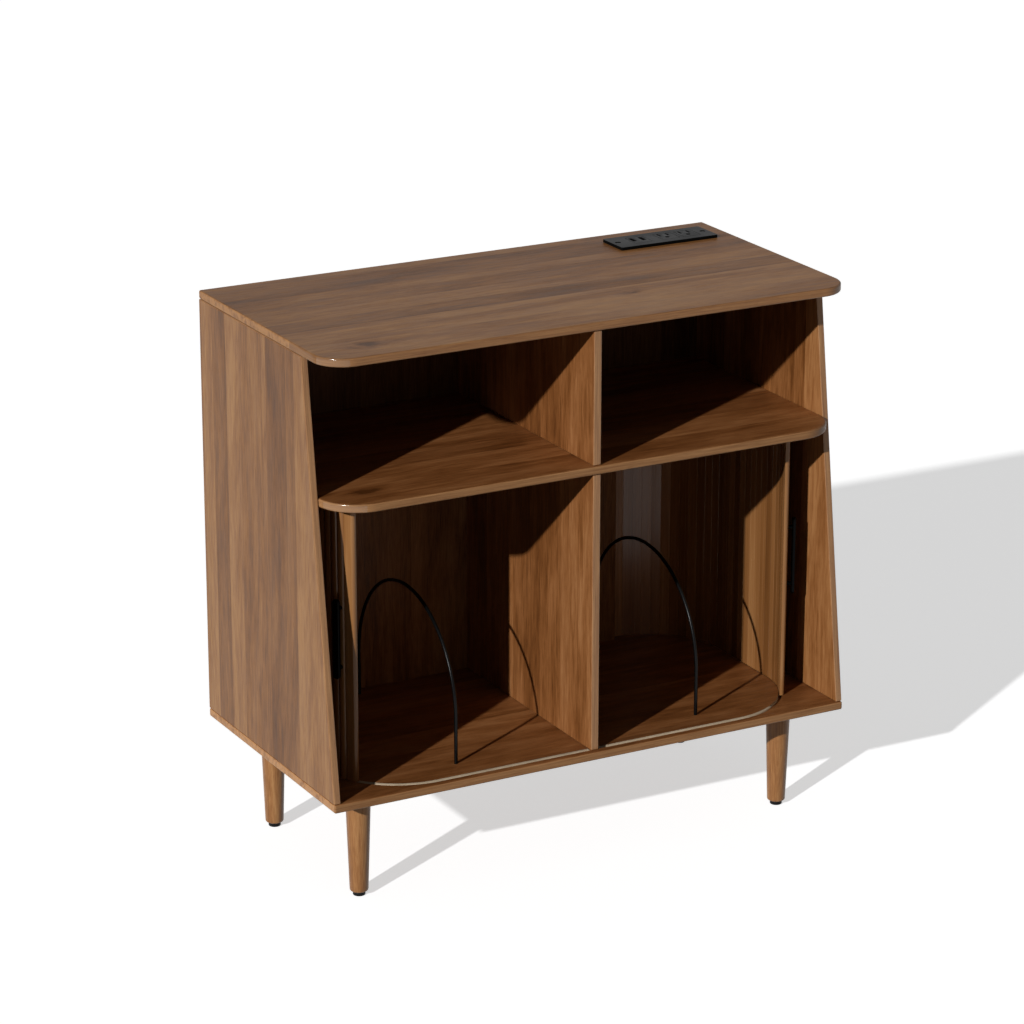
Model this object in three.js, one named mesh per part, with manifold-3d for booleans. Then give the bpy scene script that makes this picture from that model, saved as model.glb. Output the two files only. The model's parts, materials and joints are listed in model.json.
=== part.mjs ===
import * as THREE from 'three';
import { mergeVertices } from 'three/addons/utils/BufferGeometryUtils.js';
import Module from 'manifold-3d';

const wasm = await Module();
wasm.setup();

// Record cabinet, in millimetres. The origin is on the floor under the middle of the bottom panel,
// +X runs to the viewer's right, +Y to the back and +Z up. The tambour doors stand open.

// Carcass
const cabinetWidth = 800;
const topDepth = 400;
const boardThickness = 12;
const sideThickness = 10;
const backThickness = 5;
const legClearance = 155;
const lowerBayHeight = 398;
const upperBayHeight = 188;
const bottomLead = 4.5;
const sideLead = 2.5;
const sideTopSetback = 78.5;
const dividerSetback = 3;
const topCornerRadius = 44;
const shelfCornerRadius = 60;
const edgeRound = 2.5;
const uprightRound = 1.5;
const seatGap = 0.3;
const cutOverrun = 4;
const samePoint = 0.001;

// Tambour track, measured on the line that the door's inner face follows
const trackInset = 32.5;
const trackFrontInset = 12.5;
const trackBackInset = 17;
const trackRadius = 120;
const grooveWidth = 7.4;
const grooveDepth = 5;
const grooveEndMargin = 10;
const doorPlay = 0.4;

// Tambour door
const slatThickness = 6.6;
const slatShoulder = 4.3;
const slatWeb = 1.4;
const slatGap = 0.36;
const slatPitch = 14;
const innerLine = 0.5;
const stileWidth = 28;
const stileLandWidth = 17;
const stileRound = 2;
const stileNotch = 2.8;
const closingGap = 1.5;
const tailReach = 7;
const leadSlats = 4;
const leadShare = 0.68;

// Bar handle
const handleLength = 112;
const handleWidth = 10;
const handleBar = 5;
const handleStand = 12;
const handlePostRadius = 3.2;
const handlePostInset = 14;
const handleRound = 1;
const handleRaise = 5;

// Inner back
const innerBackThickness = 4;
const innerBackInset = 29;
const innerBackLap = 3;

// Arch dividers
const archWireRadius = 2.5;
const archFrontInset = 51;
const archBackInset = 19;
const archLegHeight = 64;
const archSocketDepth = 6;
const archOffset = 190;

// Legs
const legSideInset = 66;
const legFrontInset = 65.5;
const legBackInset = 69;
const legTopRadius = 17.7;
const legFootRadius = 13.6;
const legShoulder = 2;
const legChamfer = 3;
const legStudRadius = 4;
const legStudLength = 38;
const studCover = 1.5;
const glideRadius = 9.8;
const glideHeight = 6;
const glideRound = 1.5;
const glideStemRadius = 3;
const glideStemLength = 12;

// Power strip in the top
const stripMargin = 21.7;
const stripLip = 5;
const stripThickness = 4.5;
const stripRound = 0.8;
const stripCorner = 3;
const stripRight = 28.5;
const stripBack = 36;
const housingWidth = 46;
const housingWall = 2;
const usbSlotWidth = 5.6;
const usbSlotLength = 13;
const usbSpacing = 15.8;
const usbRaise = 2;
const usbPortDepth = 9;
const usbTongue = 2;
const bladeWidth = 2.2;
const bladeLength = 8;
const bladeSpacing = 12.7;
const groundRadius = 2.6;
const groundDrop = 11.9;
const outletRaise = 6;
const moduleLength = 31;
const moduleGap = 3.6;
const usbGap = 14.4;
const rowShift = 4;
const moduleHeight = 20;
const contactDepth = 14;
const stripScrewInset = 9.5;
const stripScrewHead = 3.4;
const stripScrewDome = 1.2;
const stripScrewShank = 1.8;
const stripScrewLength = 10;
const glandRadius = 6;
const glandBore = 3.4;
const glandFlange = 8.5;
const glandFlangeThickness = 3;
const glandLength = 16;
const glandMargin = 2.5;

// Facets
const cornerSteps = 8;
const trackSteps = 18;
const reedSteps = 6;
const roundSteps = 24;
const smallRoundSteps = 12;
const wireSides = 8;
const archSteps = 44;
const edgeSteps = 2;

// Levels and planes that the pieces share
const floorTop = legClearance + boardThickness;
const shelfUnder = floorTop + lowerBayHeight;
const shelfTop = shelfUnder + boardThickness;
const topUnder = shelfTop + upperBayHeight;
const topFace = topUnder + boardThickness;
const backEdge = (topDepth + bottomLead) / 2;
const frontEdge = backEdge - topDepth;
const bottomFront = frontEdge - bottomLead;
const outerHalf = cabinetWidth / 2;
const innerHalf = outerHalf - sideThickness;
const backFace = backEdge - backThickness;
const dividerHalf = boardThickness / 2;
const innerBackFace = backFace - innerBackInset;
const studBite = boardThickness - grooveDepth - studCover;

// Track seen from above, on the right; the left is its mirror image
const trackSide = innerHalf - trackInset;
const trackFront = frontEdge + trackFrontInset;
const trackBack = backFace - trackBackInset;
const cornerX = trackSide - trackRadius;
const frontCorner = new THREE.Vector2(cornerX, trackFront + trackRadius);
const rearCorner = new THREE.Vector2(cornerX, trackBack - trackRadius);
const sideRun = rearCorner.y - frontCorner.y;
const closedEdge = dividerHalf + closingGap;
const frontSpare = cornerX - closedEdge - stileWidth - sideRun;
const kneeHalf = (leadShare * frontSpare) / (2 * leadSlats + 1);
const kneeLength = 2 * kneeHalf;
const kneeTurn = 2 * Math.atan(kneeHalf / trackRadius);
const tailHalf = ((1 - leadShare) * frontSpare) / 2;
const tailTurn = 2 * Math.atan(tailHalf / trackRadius);

// Materials
function finish(color, roughness, metalness) {
  return () => new THREE.MeshStandardMaterial({ color, roughness, metalness });
}

const walnut = finish(0x8f5f3d, 0.42, 0);
const walnutDark = finish(0x6e4529, 0.5, 0);
const blackWire = finish(0x0b0b0c, 0.25, 0.6);
const blackPlastic = finish(0x141416, 0.45, 0);
const blackRubber = finish(0x101011, 0.8, 0);
const steel = finish(0xa9a9a6, 0.35, 0.9);
const blackSteel = finish(0x111112, 0.4, 0.6);

const cabinet = new THREE.Group();

function add(name, geometry, material) {
  const mesh = new THREE.Mesh(geometry, material());
  mesh.name = name;
  cabinet.add(mesh);
}

// Solids are joined and cut with their vertices merged
function toSolid(geometry) {
  const bare = geometry.clone();
  bare.deleteAttribute('normal');
  bare.deleteAttribute('uv');
  const merged = mergeVertices(bare);
  return new wasm.Manifold(new wasm.Mesh({
    numProp: 3,
    vertProperties: new Float32Array(merged.attributes.position.array),
    triVerts: new Uint32Array(merged.index.array),
  }));
}

function toGeometry(solid) {
  const mesh = solid.getMesh();
  const geometry = new THREE.BufferGeometry();
  geometry.setAttribute('position', new THREE.BufferAttribute(mesh.vertProperties, mesh.numProp));
  geometry.setIndex(new THREE.BufferAttribute(mesh.triVerts, 1));
  return geometry;
}

function join(pieces) {
  return toGeometry(pieces.map(toSolid).reduce((a, b) => a.add(b)));
}

function cut(body, cutters) {
  return toGeometry(cutters.map(toSolid).reduce((a, b) => a.subtract(b), toSolid(body)));
}

// An outline from points, without repeats
function outline(points) {
  const before = (i) => points[(i + points.length - 1) % points.length];
  return new THREE.Shape(points.filter((p, i) => p.distanceTo(before(i)) > samePoint));
}

function arc(centre, radius, from, to, steps) {
  const at = (i) => from + ((to - from) * i) / steps;
  return Array.from({ length: steps + 1 }, (_, i) => new THREE.Vector2(
    centre.x + radius * Math.cos(at(i)),
    centre.y + radius * Math.sin(at(i)),
  ));
}

const mirrored = (points, side) => points.map((p) => new THREE.Vector2(side * p.x, p.y));

// A flat board from its outline: rounded edges, lower face at z
function board(shape, thickness, round, z) {
  const geometry = new THREE.ExtrudeGeometry(shape, {
    depth: thickness - 2 * round,
    bevelEnabled: true,
    bevelThickness: round,
    bevelSize: round,
    bevelOffset: -round,
    bevelSegments: edgeSteps,
  });
  return geometry.translate(0, 0, z + round);
}

function prism(shape, height, z) {
  return new THREE.ExtrudeGeometry(shape, { depth: height, bevelEnabled: false }).translate(0, 0, z);
}

function rectangle(x0, x1, y0, y1) {
  return outline([[x0, y0], [x1, y0], [x1, y1], [x0, y1]].map(([x, y]) => new THREE.Vector2(x, y)));
}

function roundedRectangle(x0, x1, y0, y1, radius) {
  const corner = (x, y, start) => arc(
    new THREE.Vector2(x, y), radius, start, start + Math.PI / 2, cornerSteps / 2,
  );
  return outline([
    ...corner(x1 - radius, y1 - radius, 0),
    ...corner(x0 + radius, y1 - radius, Math.PI / 2),
    ...corner(x0 + radius, y0 + radius, Math.PI),
    ...corner(x1 - radius, y0 + radius, 1.5 * Math.PI),
  ]);
}

function block(x0, x1, y0, y1, z0, z1) {
  const geometry = new THREE.BoxGeometry(x1 - x0, y1 - y0, z1 - z0);
  return geometry.translate((x0 + x1) / 2, (y0 + y1) / 2, (z0 + z1) / 2);
}

// An upright round bar between two levels
function bar(radius, x, y, z0, z1, steps = smallRoundSteps) {
  const geometry = new THREE.CylinderGeometry(radius, radius, z1 - z0, steps);
  return geometry.rotateX(Math.PI / 2).translate(x, y, (z0 + z1) / 2);
}

// A turned piece from its half profile, standing on x, y
function turned(profile, x, y, steps = roundSteps) {
  const points = profile.map(([r, z]) => new THREE.Vector2(r, z));
  return new THREE.LatheGeometry(points, steps).rotateX(Math.PI / 2).translate(x, y, 0);
}

// Top and shelf have rounded front corners
function roundFront(half, front, back, radius) {
  const left = new THREE.Vector2(-half + radius, front + radius);
  const right = new THREE.Vector2(half - radius, front + radius);
  return outline([
    new THREE.Vector2(half, back),
    new THREE.Vector2(-half, back),
    ...arc(left, radius, Math.PI, 1.5 * Math.PI, cornerSteps),
    ...arc(right, radius, 1.5 * Math.PI, 2 * Math.PI, cornerSteps),
  ]);
}

// The groove's plan: a band beside the line that the door's inner face follows
function grooveBand(side) {
  const inner = (slatThickness - grooveWidth) / 2;
  const line = (offset) => [
    new THREE.Vector2(dividerHalf, trackFront - offset),
    ...arc(frontCorner, trackRadius + offset, -Math.PI / 2, 0, trackSteps),
    ...arc(rearCorner, trackRadius + offset, 0, Math.PI / 2, trackSteps),
    new THREE.Vector2(cornerX - tailReach - grooveEndMargin, trackBack + offset),
  ];
  return outline(mirrored([...line(inner), ...line(inner + grooveWidth).reverse()], side));
}

const groove = (side, z0, z1) => prism(grooveBand(side), z1 - z0, z0);

const legSpots = [
  ['front_left', -1, bottomFront + legFrontInset],
  ['front_right', 1, bottomFront + legFrontInset],
  ['back_left', -1, backEdge - legBackInset],
  ['back_right', 1, backEdge - legBackInset],
].map(([name, side, y]) => ({ name, x: side * (outerHalf - legSideInset), y }));

const archFeet = [frontEdge + archFrontInset, innerBackFace - archBackInset];
const archMiddle = (archFeet[0] + archFeet[1]) / 2;
const archRadius = (archFeet[1] - archFeet[0]) / 2;

// The strip's row of modules, the housing round it and the plate over both
const rowLength = 3 * moduleLength + usbGap + moduleGap;
const housingLength = rowLength + 2 * (seatGap + housingWall);
const stripLength = housingLength + 2 * stripMargin;
const stripWidth = housingWidth + 2 * stripLip;
const stripX = outerHalf - stripRight - stripLength / 2;
const stripY = backEdge - stripBack - stripWidth / 2;
const housingX = stripX + rowShift;
const housingBase = topUnder - 2 * (glandFlange + glandMargin);
const usbModuleX = housingX - (rowLength - moduleLength) / 2;
const firstOutletX = usbModuleX + moduleLength + usbGap;
const outletX = [firstOutletX, firstOutletX + moduleLength + moduleGap];
const usbX = [usbModuleX - usbSpacing / 2, usbModuleX + usbSpacing / 2];
const stripScrewX = [-1, 1].map((side) => stripX + side * (stripLength / 2 - stripScrewInset));

// Top panel, with the cut-out and pilot holes of the power strip
const topOutline = roundFront(outerHalf, frontEdge, backEdge, topCornerRadius);
const topBoard = board(topOutline, boardThickness, edgeRound, topUnder);
const stripOpening = block(
  housingX - housingLength / 2 - seatGap, housingX + housingLength / 2 + seatGap,
  stripY - housingWidth / 2 - seatGap, stripY + housingWidth / 2 + seatGap,
  topUnder - cutOverrun, topFace + cutOverrun,
);
const stripPilots = stripScrewX.map((x) => bar(
  stripScrewShank + seatGap, x, stripY, topFace - stripScrewLength, topFace + cutOverrun,
));
add('top_panel', cut(topBoard, [stripOpening, ...stripPilots]), walnut);

// Bottom panel, with the tambour grooves, the arch sockets and the stud holes
const bottomOutline = rectangle(-outerHalf, outerHalf, bottomFront, backEdge);
const bottomBoard = board(bottomOutline, boardThickness, edgeRound, legClearance);
const bottomCuts = [-1, 1].flatMap((side) => [
  groove(side, floorTop - grooveDepth, floorTop + cutOverrun),
  ...archFeet.map((y) => bar(
    archWireRadius + seatGap, side * archOffset, y, floorTop - archSocketDepth, floorTop + cutOverrun,
  )),
]);
const studHoles = legSpots.map(({ x, y }) => bar(
  legStudRadius + seatGap, x, y, legClearance - cutOverrun, legClearance + studBite,
));
add('bottom_panel', cut(bottomBoard, [...bottomCuts, ...studHoles]), walnut);

// Shelf between the sides, with the upper grooves in its underside
const shelfHalf = innerHalf - seatGap;
const shelfOutline = roundFront(shelfHalf, frontEdge, backFace - seatGap, shelfCornerRadius);
const shelfCuts = [-1, 1].map((side) => groove(side, shelfUnder - cutOverrun, shelfUnder + grooveDepth));
add('shelf', cut(board(shelfOutline, boardThickness, edgeRound, shelfUnder), shelfCuts), walnut);

// Side panels: the front edge leans back towards the top
const sideBase = floorTop + seatGap;
const sideHeight = topUnder - seatGap - sideBase;
for (const [name, side] of [['side_left', -1], ['side_right', 1]]) {
  const profile = outline([
    new THREE.Vector2(backEdge, 0),
    new THREE.Vector2(backEdge, sideHeight),
    new THREE.Vector2(frontEdge + sideTopSetback, sideHeight),
    new THREE.Vector2(frontEdge - sideLead, 0),
  ]);
  const upright = board(profile, sideThickness, uprightRound, -sideThickness / 2);
  upright.rotateX(Math.PI / 2).rotateZ(Math.PI / 2);
  add(name, upright.translate(side * (outerHalf - sideThickness / 2), 0, sideBase), walnut);
}

// Centre dividers and backs
const dividerFront = frontEdge + dividerSetback;
const dividerBack = backFace - seatGap;
function divider(z0, z1) {
  const face = rectangle(dividerFront, dividerBack, 0, z1 - z0 - 2 * seatGap);
  const upright = board(face, boardThickness, uprightRound, -dividerHalf);
  return upright.rotateX(Math.PI / 2).rotateZ(Math.PI / 2).translate(0, 0, z0 + seatGap);
}
add('divider_upper', divider(shelfTop, topUnder), walnut);
add('divider_lower', divider(floorTop, shelfUnder), walnut);
add('back_panel', block(
  -innerHalf + seatGap, innerHalf - seatGap, backFace, backEdge,
  floorTop + seatGap, topUnder - seatGap,
), walnutDark);

for (const [name, side] of [['inner_back_left', -1], ['inner_back_right', 1]]) {
  const near = side * (dividerHalf + seatGap);
  const far = side * (cornerX + innerBackLap);
  add(name, block(
    Math.min(near, far), Math.max(near, far), innerBackFace, innerBackFace + innerBackThickness,
    floorTop + seatGap, shelfUnder - seatGap,
  ), walnut);
}

// Turned legs with threaded studs and black glides
function leg({ x, y }) {
  const top = legClearance - seatGap;
  const boreBottom = legClearance + studBite - seatGap - legStudLength - seatGap;
  const stemTop = glideHeight + glideStemLength + seatGap;
  return turned([
    [0, stemTop],
    [glideStemRadius + seatGap, stemTop],
    [glideStemRadius + seatGap, glideHeight + seatGap],
    [legFootRadius - legChamfer, glideHeight + seatGap],
    [legFootRadius, glideHeight + legChamfer],
    [legTopRadius, top - legShoulder],
    [legTopRadius, top],
    [legStudRadius + seatGap, top],
    [legStudRadius + seatGap, boreBottom],
    [0, boreBottom],
  ], x, y);
}

function glide({ x, y }) {
  return turned([
    [0, 0],
    [glideRadius - glideRound, 0],
    [glideRadius, glideRound],
    [glideRadius, glideHeight - glideRound],
    [glideRadius - glideRound, glideHeight],
    [glideStemRadius, glideHeight],
    [glideStemRadius, glideHeight + glideStemLength],
    [0, glideHeight + glideStemLength],
  ], x, y);
}

const studTop = legClearance + studBite - seatGap;
for (const spot of legSpots) {
  add(`leg_${spot.name}`, leg(spot), walnut);
  add(`glide_${spot.name}`, glide(spot), blackRubber);
  add(`leg_stud_${spot.name}`, bar(legStudRadius, spot.x, spot.y, studTop - legStudLength, studTop), steel);
}

// Arch dividers: one bent wire each, its feet in the bottom panel
class ArchCurve extends THREE.Curve {
  constructor(x) {
    super();
    this.x = x;
    this.foot = archSocketDepth - seatGap;
    this.leg = this.foot + archLegHeight;
    this.span = 2 * this.leg + Math.PI * archRadius;
  }

  getPoint(t, target = new THREE.Vector3()) {
    const s = t * this.span;
    const spring = floorTop + archLegHeight;
    if (s < this.leg) return target.set(this.x, archMiddle - archRadius, spring - this.leg + s);
    const turn = (s - this.leg) / archRadius;
    if (turn > Math.PI) {
      return target.set(this.x, archMiddle + archRadius, spring - (s - this.leg - Math.PI * archRadius));
    }
    const rise = archRadius * Math.sin(turn);
    return target.set(this.x, archMiddle - archRadius * Math.cos(turn), spring + rise);
  }
}

for (const [name, side] of [['arch_left', -1], ['arch_right', 1]]) {
  const section = outline(arc(new THREE.Vector2(), archWireRadius, 0, 2 * Math.PI, wireSides));
  const wire = new THREE.ExtrudeGeometry(section, {
    steps: archSteps,
    extrudePath: new ArchCurve(side * archOffset),
  });
  add(name, wire, blackWire);
}

// Tambour door. A place on a slat is u along its inner face and v out from it.
const direction = (turn) => new THREE.Vector2(Math.cos(turn), Math.sin(turn));
const heading = (from, to) => to.clone().sub(from).normalize();
const outward = (h) => new THREE.Vector2(h.y, -h.x);
const place = (start, h, u, v) => start.clone().addScaledVector(h, u).addScaledVector(outward(h), v);

// The half-round outer face between two shoulders
function reed(start, h, u0, u1) {
  const rise = slatThickness - slatShoulder;
  const half = (u1 - u0) / 2;
  const radius = (half * half + rise * rise) / (2 * rise);
  return Array.from({ length: reedSteps + 1 }, (_, i) => {
    const u = u0 + ((u1 - u0) * i) / reedSteps;
    const off = u - u0 - half;
    return place(start, h, u, slatThickness - radius + Math.sqrt(radius * radius - off * off));
  });
}

// Slats side by side on one backing: a fine line inside and a deep notch outside at each joint
function slatSheet(joints) {
  const count = joints.length - 1;
  const headings = Array.from({ length: count }, (_, i) => heading(joints[i], joints[i + 1]));
  const inside = [];
  const outside = [];
  for (let i = 0; i < count; i++) {
    const h = headings[i];
    const width = joints[i].distanceTo(joints[i + 1]);
    const first = i === 0 ? slatGap / 2 : 0;
    const last = i === count - 1 ? slatGap / 2 : 0;
    inside.push(place(joints[i], h, first, innerLine));
    inside.push(place(joints[i], h, first + innerLine, 0));
    inside.push(place(joints[i], h, width - last - innerLine, 0));
    if (last > 0) inside.push(place(joints[i], h, width - last, innerLine));
    if (i > 0) outside.push(place(joints[i], h, 0, slatWeb));
    outside.push(...reed(joints[i], h, slatGap, width - slatGap));
  }
  return [...inside, ...outside.reverse()];
}

// The stile: a smooth land at the leading edge and a narrow rib that carries the handle
function stile(root, tip) {
  const h = heading(tip, root);
  const rib = stileWidth - stileLandWidth;
  const at = (u, v) => place(tip, h, u, v);
  return [
    at(innerLine, 0),
    at(stileWidth - slatGap / 2 - innerLine, 0),
    at(stileWidth - slatGap / 2, innerLine),
    at(stileWidth - slatGap / 2, slatShoulder),
    at(stileWidth - slatGap / 2 - stileRound, slatThickness),
    at(stileWidth - rib + stileRound, slatThickness),
    at(stileWidth - rib + slatGap, slatShoulder),
    at(stileWidth - rib, stileNotch),
    at(stileWidth - rib - slatGap, slatShoulder),
    at(stileWidth - rib - stileRound, slatThickness),
    at(stileRound, slatThickness),
    at(0, slatThickness - stileRound),
    at(0, innerLine),
  ];
}

// Knees of the open door: down the side, round the front corner to the leading edge
const runStart = new THREE.Vector2(trackSide, frontCorner.y - kneeHalf);
const runEnd = new THREE.Vector2(trackSide, rearCorner.y + tailHalf);
const knees = [runStart];
for (let i = 1; i <= leadSlats; i++) {
  const turn = Math.PI / 2 - i * kneeTurn;
  knees.push(knees[i - 1].clone().addScaledVector(direction(turn), -kneeLength));
}
const tipTurn = Math.PI / 2 - (leadSlats + 1) * kneeTurn;
const tip = knees[leadSlats].clone().addScaledVector(direction(tipTurn), -stileWidth);

// The tail's line: straight off the run, round the rear corner, along the back
const tailArc = trackRadius * (Math.PI / 2 - tailTurn);
const tailLength = tailHalf + tailArc + tailReach;
function tailPoint(s) {
  if (s < tailHalf) {
    return runEnd.clone().addScaledVector(direction(Math.PI / 2 + tailTurn), s);
  }
  const angle = tailTurn + (s - tailHalf) / trackRadius;
  if (angle < Math.PI / 2) {
    return rearCorner.clone().addScaledVector(direction(angle), trackRadius);
  }
  return new THREE.Vector2(cornerX - (s - tailHalf - tailArc), trackBack);
}

const runLength = runEnd.y - runStart.y;
const runCount = Math.round(runLength / slatPitch);
const runJoints = Array.from({ length: runCount + 1 }, (_, i) => new THREE.Vector2(
  trackSide, runStart.y + (runLength * i) / runCount,
));
const tailCount = Math.round(tailLength / slatPitch);
const tailJoints = Array.from({ length: tailCount + 1 }, (_, i) => tailPoint((tailLength * i) / tailCount));

const doorBase = floorTop + doorPlay;
const doorHeight = lowerBayHeight - 2 * doorPlay;

// The handle stands on the stile's rib
function handle(side) {
  const h = heading(tip, knees[leadSlats]);
  const middle = (stileLandWidth + stileWidth) / 2;
  const seat = slatThickness + seatGap;
  const foot = place(tip, h, middle, seat);
  const z = floorTop + lowerBayHeight / 2 + handleRaise;
  const reach = handleStand - handleBar;
  const plan = roundedRectangle(
    -handleWidth / 2, handleWidth / 2, -handleLength / 2, handleLength / 2, handleWidth / 2 - handleRound,
  );
  const grip = board(plan, handleBar, handleRound, reach);
  const post = (y) => bar(handlePostRadius, 0, y, 0, reach + handleBar / 2);
  const inset = handleLength / 2 - handlePostInset;
  const piece = join([grip, post(-inset), post(inset)]);
  const along = new THREE.Vector3(h.x, side * h.y, 0);
  const up = new THREE.Vector3(0, 0, 1);
  const out = new THREE.Vector3(side * outward(h).x, outward(h).y, 0);
  const frame = new THREE.Matrix4().makeBasis(along, up, out).setPosition(side * foot.x, foot.y, z);
  return piece.applyMatrix4(frame);
}

for (const [name, side] of [['door_left', -1], ['door_right', 1]]) {
  const slab = (points) => prism(outline(mirrored(points, side)), doorHeight, doorBase);
  add(`${name}_tail`, slab(slatSheet(tailJoints)), walnut);
  add(`${name}_run`, slab(slatSheet(runJoints)), walnut);
  for (let i = 1; i <= leadSlats; i++) {
    add(`${name}_slat_${i}`, slab(slatSheet([knees[i], knees[i - 1]])), walnut);
  }
  add(`${name}_stile`, slab(stile(knees[leadSlats], tip)), walnut);
  add(`${name}_handle`, handle(side), blackWire);
}

// Power strip: plate, housing below the top, sockets, screws and the cable gland
const plateBase = topFace + seatGap;
const plateFace = plateBase + stripThickness;
const moduleTop = plateBase - seatGap;

// Plugs' and sockets' openings between two levels
function contactCuts(x, z0, z1) {
  const y = stripY + outletRaise;
  const blades = [-1, 1].map((side) => block(
    x + side * bladeSpacing / 2 - bladeWidth / 2, x + side * bladeSpacing / 2 + bladeWidth / 2,
    y - bladeLength / 2, y + bladeLength / 2, z0, z1,
  ));
  return [...blades, bar(groundRadius, x, y - groundDrop, z0, z1)];
}

const usbY = stripY + usbRaise;
const usbCut = (x, z0, z1) => block(
  x - usbSlotWidth / 2, x + usbSlotWidth / 2, usbY - usbSlotLength / 2, usbY + usbSlotLength / 2, z0, z1,
);

const plateOutline = roundedRectangle(
  stripX - stripLength / 2, stripX + stripLength / 2,
  stripY - stripWidth / 2, stripY + stripWidth / 2, stripCorner,
);
const plateCuts = [
  ...outletX.flatMap((x) => contactCuts(x, plateBase - cutOverrun, plateFace + cutOverrun)),
  ...usbX.map((x) => usbCut(x, plateBase - cutOverrun, plateFace + cutOverrun)),
  ...stripScrewX.map((x) => bar(
    stripScrewShank + seatGap, x, stripY, plateBase - cutOverrun, plateFace + cutOverrun,
  )),
];
const plateBoard = board(plateOutline, stripThickness, stripRound, plateBase);
add('strip_plate', cut(plateBoard, plateCuts), blackPlastic);

const glandZ = (housingBase + topUnder) / 2;
const housingShell = block(
  housingX - housingLength / 2, housingX + housingLength / 2,
  stripY - housingWidth / 2, stripY + housingWidth / 2, housingBase, topFace,
);
const housingHollow = block(
  housingX - housingLength / 2 + housingWall, housingX + housingLength / 2 - housingWall,
  stripY - housingWidth / 2 + housingWall, stripY + housingWidth / 2 - housingWall,
  housingBase + housingWall, topFace + cutOverrun,
);
const lying = (geometry, x, y, z) => geometry.rotateX(-Math.PI / 2).translate(x, y, z);
const glandHole = lying(
  bar(glandRadius + seatGap, 0, 0, -cutOverrun, housingWall + cutOverrun),
  housingX, stripY + housingWidth / 2 - housingWall, glandZ,
);
add('strip_housing', cut(housingShell, [housingHollow, glandHole]), blackPlastic);

const moduleHalf = housingWidth / 2 - housingWall - seatGap;
outletX.forEach((x, i) => {
  const body = block(
    x - moduleLength / 2, x + moduleLength / 2, stripY - moduleHalf, stripY + moduleHalf,
    moduleTop - moduleHeight, moduleTop,
  );
  const contacts = contactCuts(x, moduleTop - contactDepth, moduleTop + cutOverrun);
  add(`strip_outlet_${i + 1}`, cut(body, contacts), blackPlastic);
});

const usbBody = block(
  usbModuleX - moduleLength / 2, usbModuleX + moduleLength / 2, stripY - moduleHalf, stripY + moduleHalf,
  moduleTop - moduleHeight, moduleTop,
);
const usbPorts = usbX.map((x) => cut(
  usbCut(x, moduleTop - usbPortDepth, moduleTop + cutOverrun),
  [block(
    x - usbSlotWidth / 2 - seatGap, x - usbSlotWidth / 2 + usbTongue,
    usbY - usbSlotLength / 2 + usbTongue, usbY + usbSlotLength / 2 - usbTongue,
    moduleTop - usbPortDepth - seatGap, moduleTop - usbTongue,
  )],
));
add('strip_usb', cut(usbBody, usbPorts), blackPlastic);

function stripScrew(x) {
  const seat = plateFace + seatGap;
  return turned([
    [0, topFace - stripScrewLength + seatGap],
    [stripScrewShank, topFace - stripScrewLength + seatGap],
    [stripScrewShank, seat],
    [stripScrewHead, seat],
    [stripScrewHead / 2, seat + stripScrewDome],
    [0, seat + stripScrewDome],
  ], x, stripY, smallRoundSteps);
}
add('strip_screw_left', stripScrew(stripScrewX[0]), blackSteel);
add('strip_screw_right', stripScrew(stripScrewX[1]), blackSteel);

const gland = turned([
  [glandBore, 0],
  [glandRadius, 0],
  [glandRadius, housingWall + seatGap],
  [glandFlange, housingWall + seatGap],
  [glandFlange, housingWall + seatGap + glandFlangeThickness],
  [glandRadius, housingWall + seatGap + glandFlangeThickness],
  [glandRadius, glandLength],
  [glandBore, glandLength],
  [glandBore, 0],
], 0, 0, smallRoundSteps);
add('strip_gland', lying(gland, housingX, stripY + housingWidth / 2 - housingWall, glandZ), blackRubber);

export default cabinet;
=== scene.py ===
import bpy
import bmesh
import json
import math
from mathutils import Matrix, Vector


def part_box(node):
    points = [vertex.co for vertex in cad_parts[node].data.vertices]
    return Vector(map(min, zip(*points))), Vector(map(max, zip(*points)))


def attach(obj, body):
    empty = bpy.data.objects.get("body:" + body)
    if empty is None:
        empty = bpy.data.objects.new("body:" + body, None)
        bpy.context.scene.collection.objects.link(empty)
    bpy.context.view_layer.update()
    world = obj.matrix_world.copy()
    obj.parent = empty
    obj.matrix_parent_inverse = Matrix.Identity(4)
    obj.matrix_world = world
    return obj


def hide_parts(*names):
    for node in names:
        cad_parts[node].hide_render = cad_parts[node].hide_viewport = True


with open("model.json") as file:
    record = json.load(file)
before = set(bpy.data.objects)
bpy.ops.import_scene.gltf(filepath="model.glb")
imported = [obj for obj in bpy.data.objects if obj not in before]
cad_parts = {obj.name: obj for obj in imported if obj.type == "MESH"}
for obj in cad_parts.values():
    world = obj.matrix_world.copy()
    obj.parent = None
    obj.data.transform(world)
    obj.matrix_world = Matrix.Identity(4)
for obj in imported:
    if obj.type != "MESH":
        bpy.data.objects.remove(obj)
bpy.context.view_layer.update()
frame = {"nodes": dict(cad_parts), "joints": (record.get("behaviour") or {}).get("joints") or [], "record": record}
print("cabinet frame loaded")

# Camera: the photograph's place and angle, in metres
photoCamera = {
    "place": (-2.4176, -4.40575, 2.1375),
    "forward": (0.4527, 0.8332, -0.3176),
    "right": (0.8789, -0.4771, 0.001),
    "lens": 133.96,
    "sensor": 36.0,
}


def makeCamera(values):
    data = bpy.data.cameras.new("photoCamera")
    data.lens = values["lens"]
    data.sensor_width = values["sensor"]
    data.clip_end = 100.0
    camera = bpy.data.objects.new("photoCamera", data)
    bpy.context.scene.collection.objects.link(camera)
    back = -Vector(values["forward"]).normalized()
    right = Vector(values["right"]).normalized()
    up = back.cross(right)
    turn = Matrix((right, up, back)).transposed()
    camera.matrix_world = Matrix.Translation(values["place"]) @ turn.to_4x4()
    bpy.context.scene.camera = camera


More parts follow.
